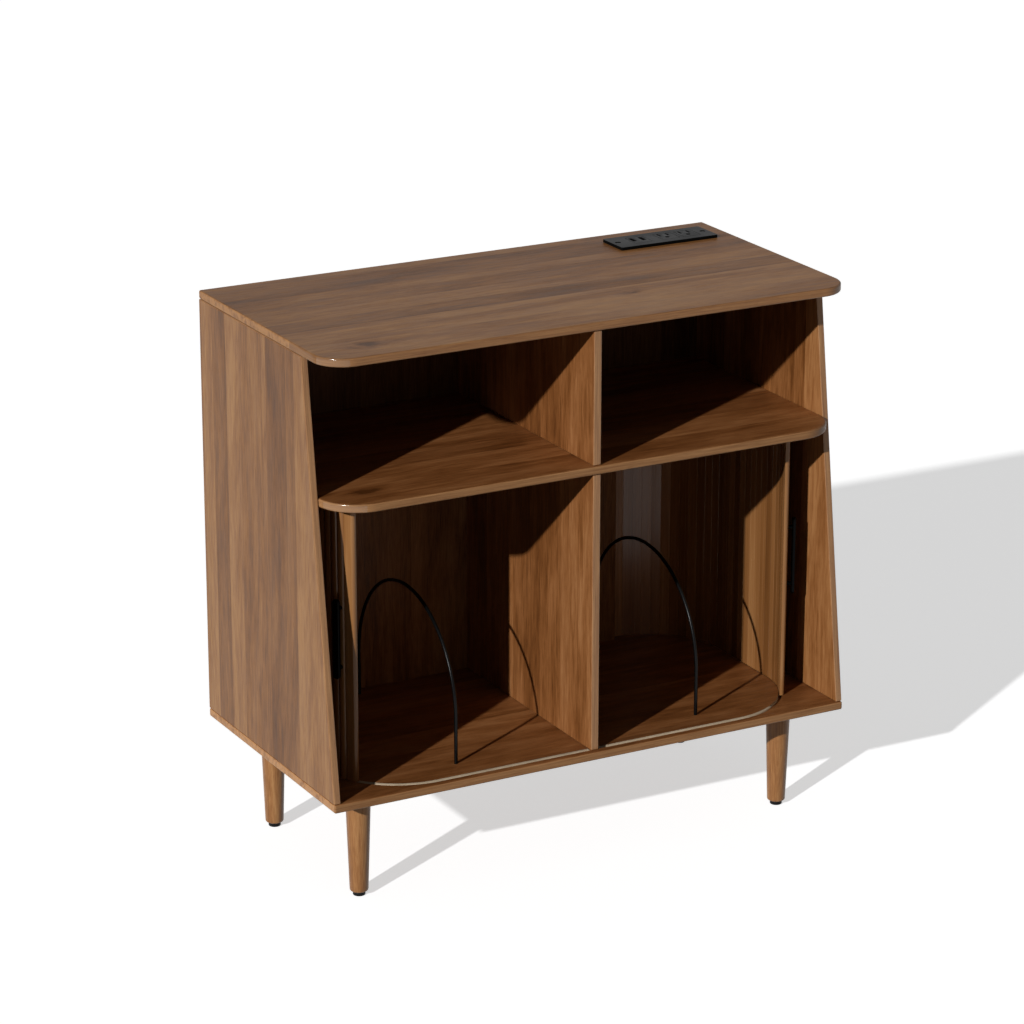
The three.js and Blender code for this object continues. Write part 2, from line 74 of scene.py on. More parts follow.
makeCamera(photoCamera)
print("camera placed")

# Node helpers
axisIndex = {"X": 0, "Y": 1, "Z": 2}


def newMaterial(name):
    material = bpy.data.materials.new(name)
    material.use_nodes = True
    tree = material.node_tree
    shader = tree.nodes["Principled BSDF"]
    return material, tree, shader


def feed(tree, socket, value):
    if isinstance(value, bpy.types.NodeSocket):
        tree.links.new(value, socket)
    else:
        socket.default_value = (*value, 1.0) if socket.type == "RGBA" else value


def make(tree, kind, inputs, **settings):
    node = tree.nodes.new(kind)
    for name, value in settings.items():
        setattr(node, name, value)
    for socket, value in inputs.items():
        feed(tree, node.inputs[socket], value)
    return node


def calc(tree, operation, first, second=0.0, clamp=False):
    node = make(tree, "ShaderNodeMath", {0: first, 1: second}, operation=operation, use_clamp=clamp)
    return node.outputs[0]


def times(tree, first, second):
    return calc(tree, "MULTIPLY", first, second)


def plus(tree, first, *others):
    for other in others:
        first = calc(tree, "ADD", first, other)
    return first


def minus(tree, first, second):
    return calc(tree, "SUBTRACT", first, second)


def over(tree, first, second):
    return calc(tree, "DIVIDE", first, second)


def coordinate(tree, kind="Object"):
    return tree.nodes.new("ShaderNodeTexCoord").outputs[kind]


def join(tree, x, y, z):
    return make(tree, "ShaderNodeCombineXYZ", {0: x, 1: y, 2: z}).outputs[0]


def split(tree, vector):
    return make(tree, "ShaderNodeSeparateXYZ", {0: vector}).outputs


def mix(tree, factor, first, second, blend="MIX"):
    inputs = {"Factor": factor, 6: first, 7: second}
    return make(tree, "ShaderNodeMix", inputs, data_type="RGBA", blend_type=blend).outputs[2]


def tinted(tree, colour, tint):
    return mix(tree, 1.0, colour, tint, "MULTIPLY")


def noise(tree, vector, scale, detail, rough, distortion=0.0):
    inputs = {"Vector": vector, "Scale": scale, "Detail": detail, "Roughness": rough,
              "Distortion": distortion}
    return make(tree, "ShaderNodeTexNoise", inputs).outputs["Fac"]


def ramp(tree, factor, stops, mode="LINEAR"):
    node = make(tree, "ShaderNodeValToRGB", {0: factor})
    node.color_ramp.interpolation = mode
    elements = node.color_ramp.elements
    while len(elements) < len(stops):
        elements.new(0.5)
    for element, (place, colour) in zip(elements, stops):
        element.position = place
        element.color = (*colour, 1.0)
    return node.outputs[0]


def smooth(tree, value, low, high, outLow=0.0, outHigh=1.0):
    inputs = {"Value": value, "From Min": low, "From Max": high, "To Min": outLow, "To Max": outHigh}
    return make(tree, "ShaderNodeMapRange", inputs, interpolation_type="SMOOTHSTEP").outputs[0]


def dress(tree, shader, colour, rough):
    feed(tree, shader.inputs["Base Color"], colour)
    feed(tree, shader.inputs["Roughness"], rough)


def bump(tree, shader, height, strength, distance):
    node = make(tree, "ShaderNodeBump", {"Strength": strength, "Distance": distance, "Height": height})
    tree.links.new(node.outputs["Normal"], shader.inputs["Normal"])


# Walnut laminate: staves side by side, fibres, pores and a knot or two
walnutValues = {
    "dark": (0.092, 0.034, 0.009),
    "brown": (0.188, 0.075, 0.021),
    "honey": (0.278, 0.122, 0.040),
    "pale": (0.405, 0.206, 0.080),
    "grey": (0.195, 0.094, 0.040),
    "edgeDark": (0.250, 0.106, 0.040),
    "edgePale": (0.530, 0.270, 0.112),
    "figure": 0.38,  # how strongly each part of the grain shows
    "lines": 0.32,
    "fibre": 0.39,
    "growth": 0.045,
    "pores": 0.12,
    "greyness": 0.16,
    "wander": 0.024,
    "rings": 85.0,
    "staveShift": 29.0,  # how far the grain jumps from one stave to the next
    "staveLow": 0.36,
    "staveSpread": 0.36,
    "rough": 0.38,
    "shine": 0.16,
    "edgeRough": 0.34,
    "edgeShine": 0.5,
    "cornerShine": 0.75,
    "cornerRough": 0.12,
    "relief": 0.0003,
}
knotValues = {"length": 1.9, "cloudLength": 1.6, "part": 0.78, "core": 0.44, "coreFall": 5.0, "halo": 0.30}
# Each layer of grain: scale along and across the fibres, detail, roughness and distortion
grainLayers = {
    "figure": (2.8, 19.0, 3.0, 0.55, 0.9),
    "lines": (13.0, 140.0, 7.0, 0.64, 0.6),
    "fibre": (32.0, 620.0, 4.0, 0.65),
    "pores": (60.0, 1500.0, 2.0, 0.5),
    "growth": (1.1, 11.0, 2.0, 0.5),
}


def grainSpace(tree, along, across, face, seed, knots):
    # place along, across and through the fibres, bent round the knots, and each knot's dark heart
    parts = split(tree, coordinate(tree))
    u, v, w = (parts[axisIndex[axis]] for axis in (along, across, face))
    heart = 0.0
    for knotAlong, knotAcross, size in knots:
        beyond = over(tree, minus(tree, u, knotAlong), size * knotValues["length"])
        offLine = minus(tree, v, knotAcross)
        aside = over(tree, offLine, size)
        far = plus(tree, times(tree, beyond, beyond), times(tree, aside, aside))
        near = calc(tree, "POWER", math.e, times(tree, far, -1.0))
        v = minus(tree, v, times(tree, times(tree, offLine, near), knotValues["part"]))
        core = times(tree, calc(tree, "POWER", near, knotValues["coreFall"]), knotValues["core"])
        halo = times(tree, near, knotValues["halo"])
        cloudPlace = join(tree, over(tree, u, size * knotValues["cloudLength"]), aside, seed)
        cloud = smooth(tree, noise(tree, cloudPlace, 1.6, 3.0, 0.55), 0.3, 0.62, 0.35, 1.25)
        heart = plus(tree, heart, times(tree, plus(tree, core, halo), cloud))
    wander = noise(tree, join(tree, times(tree, u, 2.2), times(tree, v, 5.0), seed), 1.0, 2.0, 0.55)
    v = plus(tree, v, times(tree, minus(tree, wander, 0.5), walnutValues["wander"]))
    return u, v, plus(tree, w, seed * 3.7), heart, parts


def centred(tree, value, low, high, amount):
    # spreads the middle of a noise to -amount/2 .. amount/2
    return smooth(tree, value, low, high, -amount / 2, amount / 2)


def staveLightness(tree, across, seed, staves, staveWidth):
    # two values that change from stave to stave: its lightness, and where its grain starts
    if staves:
        low, high = staves[0][0], staves[-1][0]
        share = over(tree, minus(tree, across, low), high - low)
        stops = [((place - low) / (high - low), (light, light, light)) for place, light in staves[:-1]]
        stave = ramp(tree, share, stops, "CONSTANT")
        return stave, stave
    place = over(tree, plus(tree, across, seed), staveWidth)
    cell = make(tree, "ShaderNodeTexVoronoi", {"Scale": 1.0, "W": place}, voronoi_dimensions="1D")
    step = split(tree, cell.outputs["Color"])[0]
    return plus(tree, times(tree, step, walnutValues["staveSpread"]), walnutValues["staveLow"]), step


def bandMaterial(tree, parts, face, pores, mottleFrom, edgeTint):
    # edge banding, lighter and glossier, with its grain along the edge
    values = walnutValues

    def stretched(sideways, through):
        place = [times(tree, part, sideways) for part in parts]
        place[axisIndex[face]] = times(tree, parts[axisIndex[face]], through)
        return join(tree, *place)

    band = noise(tree, stretched(10.0, 380.0), 1.0, 6.0, 0.68, 0.4)
    if mottleFrom is not None:  # from here to the back the band shows end grain
        mottle = noise(tree, stretched(95.0, 60.0), 1.0, 4.0, 0.6, 1.2)
        behind = calc(tree, "GREATER_THAN", parts[1], mottleFrom)
        band = mix(tree, behind, band, smooth(tree, mottle, 0.3, 0.7, 0.34, 0.82))
    wood = ramp(tree, band, [(0.26, values["edgeDark"]), (0.66, values["edgePale"])])
    wood = mix(tree, times(tree, pores, 0.3), wood, values["brown"])
    if mottleFrom is not None:  # in front of the joint the band is a shade darker
        fall = plus(tree, times(tree, behind, 0.2), 0.8)
        wood = tinted(tree, wood, join(tree, fall, fall, fall))
    if edgeTint:
        wood = tinted(tree, wood, edgeTint)
    return band, wood


def walnutMaterial(name, along, across, face, seed, staves=(), staveWidth=0.07, knots=(), tone=1.0,
                   mottleFrom=None, shine=walnutValues["shine"], edgeRough=walnutValues["edgeRough"],
                   tint=None, edgeTint=None, banded=True):
    values = walnutValues
    material, tree, shader = newMaterial(name)
    u, v, w, heart, parts = grainSpace(tree, along, across, face, seed, knots)
    stave, step = staveLightness(tree, parts[axisIndex[across]], seed, staves, staveWidth)
    shift = times(tree, step, values["staveShift"])

    def layer(kind):
        lengthwise, crosswise, *texture = grainLayers[kind]
        place = plus(tree, times(tree, u, lengthwise), shift)
        spot = join(tree, place, times(tree, v, crosswise), times(tree, w, crosswise))
        return noise(tree, spot, 1.0, *texture)

    figure, lines, fibre = layer("figure"), layer("lines"), layer("fibre")
    pores = smooth(tree, layer("pores"), 0.58, 0.68)
    growth = calc(tree, "SINE", times(tree, layer("growth"), values["rings"]))
    light = plus(tree, stave, centred(tree, figure, 0.3, 0.7, values["figure"]),
                 centred(tree, lines, 0.28, 0.72, values["lines"]),
                 centred(tree, fibre, 0.25, 0.75, values["fibre"]), times(tree, growth, values["growth"]))
    light = minus(tree, light, heart)
    light = calc(tree, "SUBTRACT", light, times(tree, pores, values["pores"]), clamp=True)
    stops = [(0.0, values["dark"]), (0.33, values["brown"]), (0.62, values["honey"]), (1.0, values["pale"])]
    wood = ramp(tree, light, stops)
    greyness = smooth(tree, plus(tree, figure, times(tree, stave, -0.35)), 0.25, 0.55)
    wood = mix(tree, times(tree, greyness, values["greyness"]), wood, values["grey"])
    if tint:
        wood = tinted(tree, wood, tint)
    band, bandWood = bandMaterial(tree, parts, face, pores, mottleFrom, edgeTint)
    turned = calc(tree, "ABSOLUTE", split(tree, coordinate(tree, "Normal"))[axisIndex[face]])
    onEdge = smooth(tree, turned, 0.6, 0.92, 1.0, 0.0) if banded else 0.0
    colour = mix(tree, onEdge, wood, bandWood)
    if tone != 1.0:
        colour = tinted(tree, colour, (tone, tone, tone))
    rough = plus(tree, values["rough"], centred(tree, lines, 0.28, 0.72, 0.12), times(tree, pores, 0.10))
    bandRough = plus(tree, edgeRough, times(tree, band, 0.08))
    rough = plus(tree, times(tree, rough, minus(tree, 1.0, onEdge)), times(tree, bandRough, onEdge))
    dress(tree, shader, colour, rough)
    shader.inputs["Specular IOR Level"].default_value = shine
    bump(tree, shader, minus(tree, fibre, times(tree, pores, 0.8)), 0.16, values["relief"])
    return material


def rawMaterial():
    material, tree, shader = newMaterial("rawBoard")
    spot = coordinate(tree)
    chips = noise(tree, spot, 900.0, 3.0, 0.6)
    patch = noise(tree, spot, 45.0, 3.0, 0.5)
    tint = plus(tree, times(tree, chips, 0.6), times(tree, patch, 0.4))
    colour = ramp(tree, tint, [(0.3, (0.36, 0.27, 0.17)), (0.7, (0.60, 0.48, 0.34))])
    dress(tree, shader, colour, smooth(tree, chips, 0.2, 0.8, 0.6, 0.85))
    bump(tree, shader, chips, 0.4, 0.0003)
    return material


def gloss(name, dark, pale, rough, shine, metallic=0.0):
    material, tree, shader = newMaterial(name)
    spot = coordinate(tree)
    speck = noise(tree, spot, 1200.0, 3.0, 0.6)
    drift = noise(tree, spot, 30.0, 3.0, 0.5)
    amount = plus(tree, times(tree, speck, 0.5), times(tree, drift, 0.5))
    colour = ramp(tree, amount, [(0.3, dark), (0.7, pale)])
    dress(tree, shader, colour, smooth(tree, amount, 0.3, 0.7, rough * 0.85, rough * 1.2))
    shader.inputs["Metallic"].default_value = metallic
    shader.inputs["Specular IOR Level"].default_value = shine
    bump(tree, shader, speck, 0.25, 0.0001)
    return material


# Layers of a slat's grain: scale across and along the slat, detail, roughness and distortion
slatLayers = {
    "figure": (40.0, 2.2, 3.0, 0.5, 0.6),
    "lines": (260.0, 5.0, 6.0, 0.6, 0.2),
    "fibre": (1100.0, 24.0, 3.0, 0.6),
}
slatLook = {"figure": 0.6, "lines": 0.55, "fibre": 0.2, "ownTone": 0.42, "ownShift": 31.0}


def slatMaterial(name, inner, shine):
    # each slat carries its own tone, which shifts its grain as well
    values, look = walnutValues, slatLook
    material, tree, shader = newMaterial(name)
    x, y, z = split(tree, coordinate(tree))
    own = make(tree, "ShaderNodeAttribute", {}, attribute_name="slatTone").outputs["Fac"]
    shift = times(tree, own, look["ownShift"])

    def layer(kind, start):
        crosswise, lengthwise, *texture = slatLayers[kind]
        place = plus(tree, times(tree, z, lengthwise), start)
        spot = join(tree, times(tree, x, crosswise), times(tree, y, crosswise), place)
        return noise(tree, spot, 1.0, *texture)

    figure, lines, fibre = layer("figure", shift), layer("lines", shift), layer("fibre", 0.0)
    light = plus(tree, times(tree, figure, look["figure"]), times(tree, lines, look["lines"]),
                 times(tree, fibre, look["fibre"]), times(tree, minus(tree, own, 0.5), look["ownTone"]))
    # painted shade: the whole slat's lightness is lowered by inner, so the slats read darker as if in shade
    light = calc(tree, "SUBTRACT", light, inner, clamp=True)
    stops = [(0.0, values["dark"]), (0.38, values["brown"]), (0.70, values["honey"]), (1.0, values["pale"])]
    dress(tree, shader, ramp(tree, light, stops), smooth(tree, lines, 0.2, 0.8, 0.19, 0.30))
    shader.inputs["Specular IOR Level"].default_value = shine
    bump(tree, shader, plus(tree, fibre, lines), 0.08, values["relief"])
    return material


# Staves: where each begins, and how light it is; knots: place along and across, and size
topStaves = [(-0.20, 0.66), (-0.125, 0.68), (-0.055, 0.34), (-0.010, 0.62), (0.034, 0.48), (0.082, 0.56),
             (0.110, 0.38), (0.177, 0.50), (0.21, 0.5)]
sideStaves = [(-0.21, 0.77), (-0.118, 0.76), (-0.098, 0.46), (-0.0715, 0.36), (-0.010, 0.61), (0.003, 0.53),
              (0.073, 0.74), (0.118, 0.44), (0.161, 0.80), (0.195, 0.6), (0.21, 0.5)]
shelfStaves = [(-0.20, 0.50), (-0.132, 0.62), (-0.070, 0.36), (-0.005, 0.56), (0.060, 0.42), (0.128, 0.54),
               (0.20, 0.5)]
floorStaves = [(-0.21, 0.56), (-0.150, 0.46), (-0.085, 0.60), (-0.020, 0.40), (0.050, 0.55), (0.120, 0.44),
               (0.21, 0.5)]
topKnots = [(-0.318, -0.146, 0.025), (0.115, -0.088, 0.012)]
shelfKnots = [(-0.323, -0.147, 0.013)]

# Grain of each board: its axes along, across and through, a seed, and its staves or their width
topGrain = ("X", "Y", "Z", 1.3, topStaves)
shelfGrain = ("X", "Y", "Z", 2.9, shelfStaves)
floorGrain = ("X", "Y", "Z", 4.1, floorStaves)
sideGrain = ("Z", "Y", "X", 5.7, sideStaves)
rightSideGrain = ("Z", "Y", "X", 6.2, sideStaves)
dividerGrain = ("Z", "Y", "X", 7.3, (), 0.075)
backGrain = ("Z", "X", "Y", 8.9)
cornerGloss = {"shine": walnutValues["cornerShine"], "edgeRough": walnutValues["cornerRough"]}

walnutTop = walnutMaterial("walnutTop", *topGrain, knots=topKnots, tone=1.09)
topEdge = walnutMaterial("topEdge", *topGrain, tone=0.73, shine=0.3, edgeTint=(1.0, 0.96, 0.92))
topSideBand = walnutMaterial("topSideBand", *topGrain, mottleFrom=-0.0857, tone=0.77,
                             edgeTint=(1.0, 0.96, 0.86))
topCornerEdge = walnutMaterial("topCornerEdge", *topGrain, tone=0.65, edgeTint=(1.0, 0.93, 0.73),
                               **cornerGloss)
walnutShelf = walnutMaterial("walnutShelf", *shelfGrain, knots=shelfKnots, tone=0.94, tint=(1.0, 0.86, 0.80))
shelfEdge = walnutMaterial("shelfEdge", *shelfGrain, tone=0.80)
shelfCornerEdge = walnutMaterial("shelfCornerEdge", *shelfGrain, tone=0.70, edgeTint=(1.0, 0.94, 0.76),
                                 **cornerGloss)
walnutFloor = walnutMaterial("walnutFloor", *floorGrain, mottleFrom=-0.2, tint=(0.85, 0.74, 0.70))
walnutSide = walnutMaterial("walnutSide", *sideGrain, tone=0.95)
walnutSideRight = walnutMaterial("walnutSideRight", *rightSideGrain, tone=0.95, tint=(1.0, 0.90, 0.84))
sideEdge = walnutMaterial("sideEdge", *sideGrain, tone=0.86, shine=walnutValues["edgeShine"])
walnutDivider = walnutMaterial("walnutDivider", *dividerGrain, tone=1.02, tint=(1.0, 0.91, 0.90))
dividerEdge = walnutMaterial("dividerEdge", *dividerGrain, tone=0.86, shine=walnutValues["edgeShine"])
# Back panel: the copy for the face into the bays is darker, painted shade; the copy for the outer face is lighter,
# painted light where it faces away from the sun
walnutBackPaintedShade = walnutMaterial("walnutBackPaintedShade", *backGrain, tone=0.45)
walnutRearPaintedLight = walnutMaterial("walnutRearPaintedLight", *backGrain, tone=1.25)
walnutInnerBack = walnutMaterial("walnutInnerBack", *backGrain, tone=0.8)
rawBoard = rawMaterial()
# the slats get more painted shade (0.14) than the leading stile (0.04)
reedWood = slatMaterial("reedWood", 0.14, 0.36)
stileWood = slatMaterial("stileWood", 0.04, 0.24)
blackGloss = gloss("blackGloss", (0.002, 0.002, 0.002), (0.004, 0.004, 0.004), 0.28, 0.13)
handleBlack = gloss("handleBlack", (0.0015, 0.0015, 0.0015), (0.003, 0.003, 0.003), 0.26, 0.035)
stripPlastic = gloss("stripPlastic", (0.009, 0.009, 0.010), (0.016, 0.016, 0.017), 0.42, 0.17)
# dark plastic of the strip's inner parts, also used as painted shade on the walls of the plate's slots and bores
innerPlasticAndSlotShade = gloss("innerPlasticAndSlotShade", (0.0015, 0.0015, 0.0015), (0.003, 0.003, 0.003), 0.55, 0.04)
glidePlastic = gloss("glidePlastic", (0.003, 0.003, 0.003), (0.006, 0.006, 0.006), 0.4, 0.12)
zincSteel = gloss("zincSteel", (0.42, 0.42, 0.41), (0.62, 0.62, 0.60), 0.35, 0.5, metallic=1.0)
blackSteel = gloss("blackSteel", (0.003, 0.003, 0.003), (0.008, 0.008, 0.008), 0.35, 0.2)
print("materials made")


# Mesh helpers
def showAs(name, data, materials=()):
    piece = bpy.data.objects.new(name, data)
    bpy.context.scene.collection.objects.link(piece)
    for material in materials:
        data.materials.append(material)
    return piece


def bmeshPiece(name, work, materials=(), sharp=32.0):
    bmesh.ops.remove_doubles(work, verts=work.verts, dist=1e-6)
    bmesh.ops.recalc_face_normals(work, faces=work.faces)
    mesh = bpy.data.meshes.new(name)
    work.to_mesh(mesh)
    work.free()
    mesh.shade_smooth()
    mesh.set_sharp_from_angle(angle=math.radians(sharp))
    return showAs(name, mesh, materials)


def arc(cx, cy, radius, start, end, steps):
    turns = [math.radians(start + (end - start) * i / steps) for i in range(steps + 1)]
    return [(cx + radius * math.cos(turn), cy + radius * math.sin(turn)) for turn in turns]


def onAxis(axis, u, v, w):
    return {"X": (w, u, v), "Y": (u, w, v), "Z": (u, v, w)}[axis]


def prism(outline, low, high, axis="Z", soft=0.0, segments=3):
    # an outline drawn out along one axis, its rims and sharp corners rounded
    work = bmesh.new()
    bottom = [work.verts.new(onAxis(axis, u, v, low)) for u, v in outline]
    top = [work.verts.new(onAxis(axis, u, v, high)) for u, v in outline]
    caps = [work.faces.new(bottom), work.faces.new(top)]
    count = len(outline)
    for i in range(count):
        j = (i + 1) % count
        work.faces.new((bottom[i], bottom[j], top[j], top[i]))
    bmesh.ops.recalc_face_normals(work, faces=work.faces)
    if soft:
        rims = {edge for cap in caps for edge in cap.edges}
        corners = {e for e in work.edges if e not in rims and e.calc_face_angle(0.0) > math.radians(25)}
        bmesh.ops.bevel(work, geom=list(rims | corners), offset=soft, offset_type="OFFSET",
                        segments=segments, profile=0.5, affect="EDGES", clamp_overlap=True)
    return work


def cutterOf(outline, low, high):
    return bmeshPiece("cutter", prism(outline, low, high))


def settle(piece, cutters=(), weighted=True):
    # cuts the cutters away and keeps the result as a plain mesh
    for cutter in cutters:
        cut = piece.modifiers.new("cut", "BOOLEAN")
        cut.operation = "DIFFERENCE"
        cut.solver = "EXACT"
        cut.object = cutter
    if weighted:
        even = piece.modifiers.new("even", "WEIGHTED_NORMAL")
        even.keep_sharp = True
    graph = bpy.context.evaluated_depsgraph_get()
    mesh = bpy.data.meshes.new_from_object(piece.evaluated_get(graph))
    piece.modifiers.clear()
    piece.data = mesh
    for cutter in cutters:
        bpy.data.objects.remove(cutter)


def fit(piece, body, slot, *nodes):
    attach(piece, body)
    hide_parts(*nodes)


def boxMiddle(node):
    low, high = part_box(node)
    return (low.x + high.x) / 2, (low.y + high.y) / 2


def rectangle(x0, x1, y0, y1):
    return [(x0, y0), (x1, y0), (x1, y1), (x0, y1)]


def oblong(x, y, width, length):
    return rectangle(x - width / 2, x + width / 2, y - length / 2, y + length / 2)


def disc(x, y, radius, sides):
    return arc(x, y, radius, 0, 360 - 360 / sides, sides - 1)


def roundedOutline(x0, x1, y0, y1, radius, steps=6):
    points = arc(x1 - radius, y1 - radius, radius, 0, 90, steps)
    points += arc(x0 + radius, y1 - radius, radius, 90, 180, steps)
    points += arc(x0 + radius, y0 + radius, radius, 180, 270, steps)
    return points + arc(x1 - radius, y0 + radius, radius, 270, 360, steps)


def roundFront(half, front, back, radius):
    left = arc(-half + radius, front + radius, radius, 180, 270, 20)
    right = arc(half - radius, front + radius, radius, 270, 360, 20)
    return [(half, back), (-half, back)] + left + right


sides = ("left", "right")

# Places taken from the frame
floorLow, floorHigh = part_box("bottom_panel")
topLow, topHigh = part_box("top_panel")
shelfLow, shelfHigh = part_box("shelf")

# Door line on the right: knuckles, run end and corner circles
doorLine = {"radius": 0.120, "thick": 0.0066, "stile": 0.028, "land": 0.017, "pitch": 0.0135,
            "layPitch": 0.014, "tailReach": 0.007, "grooveWidth": 0.0074, "grooveDepth": 0.005,
            "endMargin": 0.017}
followRatio = {pair["joint"]: pair["ratio"] for pair in frame["record"]["behaviour"]["couplings"]}
jointPlace = {joint["name"]: Vector(joint["pos_m"][:2]) for joint in frame["joints"]}
rightKnuckles = [jointPlace[f"door_right_knuckle_{i}"] for i in range(1, 6)]
rightRunEnd = jointPlace["door_right_tail_bend"]
kneeTurn = math.radians(90.0 * followRatio["door_right_knuckle_1"])
tailTurn = math.radians(90.0 * followRatio["door_right_tail_bend"])
trackSide = rightKnuckles[0].x
cornerX = trackSide - doorLine["radius"]
rearCornerY = rightRunEnd.y - doorLine["radius"] * math.tan(tailTurn / 2)
frontCornerY = rightKnuckles[0].y + doorLine["radius"] * math.tan(kneeTurn / 2)
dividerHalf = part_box("divider_lower")[1].x

# Boards
boardValues = {"round": 0.0025, "uprightRound": 0.0015, "topCorner": 0.044, "shelfCorner": 0.060,
               "backRound": 0.0006, "backLap": 0.00028, "stripGap": 0.0003, "cutOverrun": 0.01,
               "hair": 0.0001}


def grooveCutter(side, low, high):
    sign = -1.0 if side == "left" else 1.0
    inner = (doorLine["thick"] - doorLine["grooveWidth"]) / 2

    def line(offset):
        front = arc(cornerX, frontCornerY, doorLine["radius"] + offset, -90, 0, 48)
        rear = arc(cornerX, rearCornerY, doorLine["radius"] + offset, 0, 90, 48)
        start = (dividerHalf, frontCornerY - doorLine["radius"] - offset)
        end = (cornerX - doorLine["endMargin"], rearCornerY + doorLine["radius"] + offset)
        return [start] + front + rear + [end]

    band = line(inner) + line(inner + doorLine["grooveWidth"])[::-1]
    return cutterOf([(sign * x, y) for x, y in band], low, high)


def offDoorLine(x, y):
    # how far a point lies outside the doors' inner line
    aside = max(abs(x) - cornerX, 0.0)
    beyond = max(frontCornerY - y, y - rearCornerY, 0.0)
    return math.hypot(aside, beyond) - doorLine["radius"]


def grooveFaces(piece, low, high):
    # faces left by the grooves show the raw board
    for face in piece.data.polygons:
        middle = face.center
        off = offDoorLine(middle.x, middle.y)
        if low < middle.z < high and -0.001 < off < doorLine["grooveWidth"] + 0.0005:
            face.material_index = 1


def edgeFaces(piece, index, axis="Z", limit=0.9):
    # faces that turn away from the board's broad side
    for face in piece.data.polygons:
        if face.material_index == 0 and abs(face.normal[axisIndex[axis]]) < limit:
            face.material_index = index


def cornerFaces(piece, index):
    # the left front corner, where both directions share the edge
    for face in piece.data.polygons:
        x, y, z = face.normal
        if face.material_index == index - 1 and x < -0.2 and y < -0.2 and z > -0.3:
            face.material_index = index


def flatBoard(name, outline, low, high, materials):
    return bmeshPiece(name, prism(outline, low.z, high.z, "Z", boardValues["round"], 4), materials)


def makeTop():
    outline = roundFront(topHigh.x, topLow.y, topHigh.y, boardValues["topCorner"])
    piece = flatBoard("topBoard", outline, topLow, topHigh, [walnutTop, topEdge, topCornerEdge, topSideBand])
    low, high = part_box("strip_housing")
    gap, overrun = boardValues["stripGap"], boardValues["cutOverrun"]
    hole = rectangle(low.x - gap, high.x + gap, low.y - gap, high.y + gap)
    settle(piece, [cutterOf(hole, topLow.z - overrun, topHigh.z + overrun)])
    edgeFaces(piece, 1)
    cornerFaces(piece, 2)
    for face in piece.data.polygons:  # the straight side edges have a band of their own
        if face.material_index == 1 and abs(face.normal.x) > 0.3 and abs(face.normal.y) < 0.2:
            face.material_index = 3
    fit(piece, "root", "walnut_board", "top_panel")


def makeFloorBoard():
    outline = rectangle(floorLow.x, floorHigh.x, floorLow.y, floorHigh.y)
    piece = flatBoard("bottomBoard", outline, floorLow, floorHigh, [walnutFloor, rawBoard])
    bottom, above = floorHigh.z - doorLine["grooveDepth"], floorHigh.z + boardValues["cutOverrun"]
    settle(piece, [grooveCutter(side, bottom, above) for side in sides])
    grooveFaces(piece, bottom - boardValues["hair"], floorHigh.z - boardValues["hair"])
    fit(piece, "root", "walnut_board", "bottom_panel")


def makeShelf():
    outline = roundFront(shelfHigh.x, shelfLow.y, shelfHigh.y, boardValues["shelfCorner"])
    materials = [walnutShelf, rawBoard, shelfEdge, shelfCornerEdge]
    piece = flatBoard("shelfBoard", outline, shelfLow, shelfHigh, materials)
    under, top = shelfLow.z - boardValues["cutOverrun"], shelfLow.z + doorLine["grooveDepth"]
    settle(piece, [grooveCutter(side, under, top) for side in sides])
    grooveFaces(piece, shelfLow.z + boardValues["hair"], top + boardValues["hair"])
    edgeFaces(piece, 2)
    cornerFaces(piece, 3)
    fit(piece, "root", "walnut_board", "shelf")


def makeUpright(name, outline, materials, node):
    low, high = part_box(node)
    piece = bmeshPiece(name, prism(outline, low.x, high.x, "X", boardValues["uprightRound"]), materials)
    settle(piece)
    edgeFaces(piece, 1, "X")
    fit(piece, "root", "walnut_board", node)


def makeUprights():
    for side, wood in (("left", walnutSide), ("right", walnutSideRight)):
        node = f"side_{side}"
        low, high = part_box(node)
        spots = [vertex.co for vertex in frame["nodes"][node].data.vertices]
        topFront = min(spot.y for spot in spots if spot.z > high.z - 0.001)
        outline = [(high.y, low.z), (high.y, high.z), (topFront, high.z), (low.y, low.z)]
        makeUpright(f"sideBoard_{side}", outline, [wood, sideEdge], node)
    for node, name in (("divider_upper", "upperDivider"), ("divider_lower", "lowerDivider")):
        low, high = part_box(node)
        makeUpright(name, rectangle(low.y, high.y, low.z, high.z), [walnutDivider, dividerEdge], node)


def makeBack():
    low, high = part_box("back_panel")
    lap = boardValues["backLap"]  # reaches into the joint, so that no light comes through
    outline = rectangle(low.x - lap, high.x + lap, low.z, high.z)
    work = prism(outline, low.y, high.y, "Y", boardValues["backRound"], 2)
    piece = bmeshPiece("backBoard", work, [walnutBackPaintedShade, walnutRearPaintedLight])
    settle(piece)
    # the outer face gets the lighter painted-light copy, the face into the bays the darker painted-shade copy
    for face in piece.data.polygons:
        face.material_index = 1 if face.normal.y > 0.5 else 0
    fit(piece, "root", "back_board", "back_panel")


for makeBoard in (makeTop, makeBack, makeFloorBoard, makeShelf, makeUprights):
    makeBoard()
print("boards made")

# Turned legs and glides
legValues = {"top": 0.0177, "foot": 0.0129, "shoulder": 0.002, "chamfer": 0.003, "steps": 72,
             "glide": 0.0087, "glideRound": 0.0015, "glideThick": 0.006, "glideSteps": 48}
legWood = walnutMaterial("legWood", "Z", "X", "Y", 11.3, [(-1.0, 0.66), (1.0, 0.66)], tone=1.16, shine=0.3,
                         banded=False)


